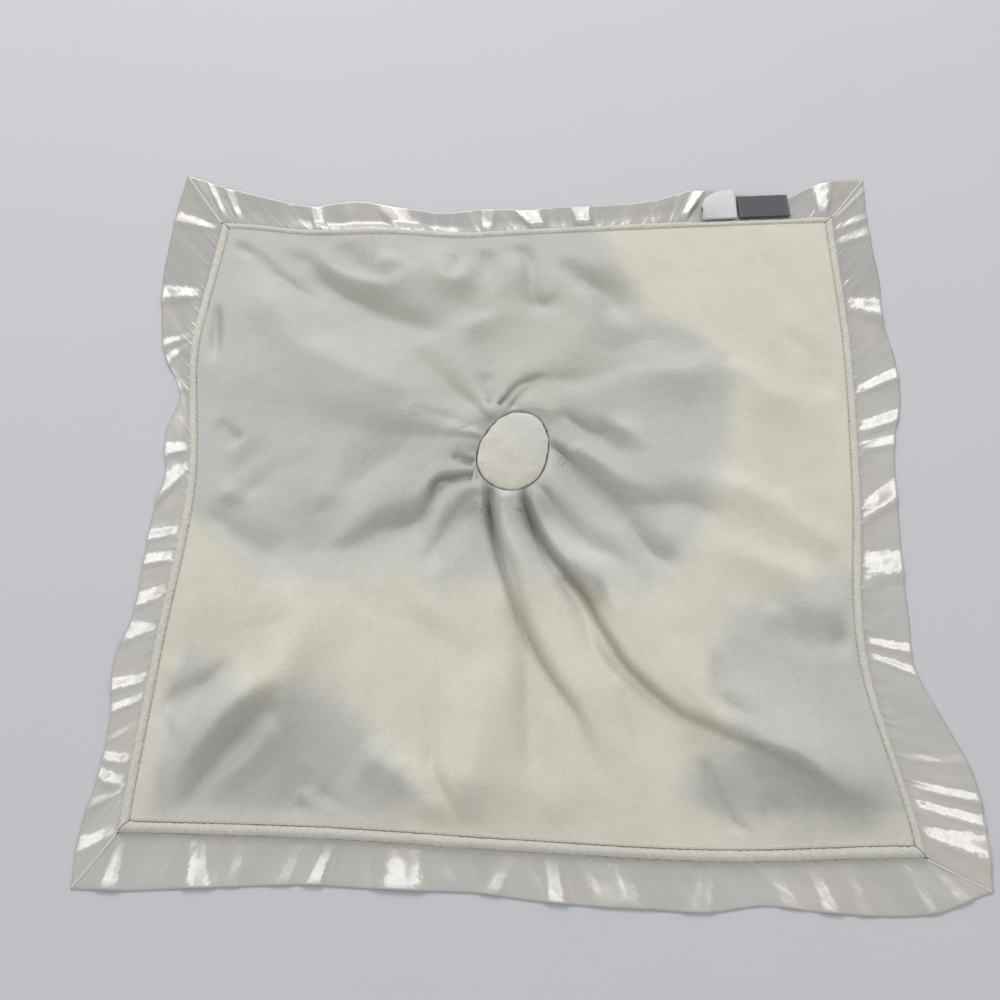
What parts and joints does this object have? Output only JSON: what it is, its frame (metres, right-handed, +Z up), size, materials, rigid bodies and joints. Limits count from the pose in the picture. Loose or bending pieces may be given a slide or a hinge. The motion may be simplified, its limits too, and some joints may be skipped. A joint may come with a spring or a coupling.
{
  "type": "comfort blanket lovey",
  "caption": "Square double-layer comfort blanket with a gathered satin ruffle and a small plush animal head sewn under its middle, lying face down.",
  "frame": {"origin": "centre of the blanket's outline on the surface that it lies on", "axes": "+Z up, out of the surface it lies on; +Y towards the edge with the sewn-in labels, which is the lower edge when the lovey is held by its head; +X to the right when the label edge is away"},
  "size_m": [0.3606, 0.3694, 0.0461],
  "materials": {
    "grey_velour": "short brushed velour in pale grey with large cream blotches",
    "cream_velour": "short brushed velour in cream",
    "satin": "soft satin, pale warm grey",
    "cream_plush": "short plush in cream",
    "charcoal_ribbon": "woven ribbon in charcoal, bare",
    "white_ribbon": "white satin ribbon, bare",
    "dark_thread": "satin-stitched thread in dark brown",
    "filling": "loose polyester filling"
  },
  "bodies": {
    "blanket": {"back_panel": "grey_velour", "front_panel": "cream_velour", "edge_welt_near": "cream_velour", "satin_ruffle_near": "satin", "edge_welt_right": "cream_velour", "satin_ruffle_right": "satin", "edge_welt_far": "cream_velour", "satin_ruffle_far": "satin", "edge_welt_left": "cream_velour", "satin_ruffle_left": "satin", "neck_disc": "cream_velour", "neck_band": "cream_plush", "head_gusset": "cream_plush", "head_left_side": "cream_plush", "head_right_side": "cream_plush", "head_filling": "filling", "muzzle": "cream_plush", "nose": "dark_thread", "eye_left": "dark_thread", "eye_right": "dark_thread"},
    "woven_label": {"woven_label": "charcoal_ribbon"},
    "care_label": {"care_label": "white_ribbon"},
    "ear_left": {"ear_left": "cream_plush", "ear_lining_left": "grey_velour"},
    "ear_right": {"ear_right": "cream_plush", "ear_lining_right": "grey_velour"}
  },
  "joints": [
    {"name": "woven_label_flip", "type": "hinge", "parent": "blanket", "child": "woven_label", "pos_m": [0.12431, 0.15643, 0.0036], "axis": [0.9986, 0.0528, 0], "range_deg": [0, 140]},
    {"name": "care_label_flip", "type": "hinge", "parent": "blanket", "child": "care_label", "pos_m": [0.1006, 0.15513, 0.00355], "axis": [0.9983, 0.0575, 0], "range_deg": [0, 120]},
    {"name": "ear_left_flop", "type": "hinge", "parent": "blanket", "child": "ear_left", "pos_m": [-0.03408, -0.01898, 0.0195], "axis": [-0.5544, 0.8322, 0], "range_deg": [0, 40]},
    {"name": "ear_right_flop", "type": "hinge", "parent": "blanket", "child": "ear_right", "pos_m": [0.01904, -0.01898, 0.0195], "axis": [-0.5544, -0.8322, 0], "range_deg": [0, 40]}
  ]
}
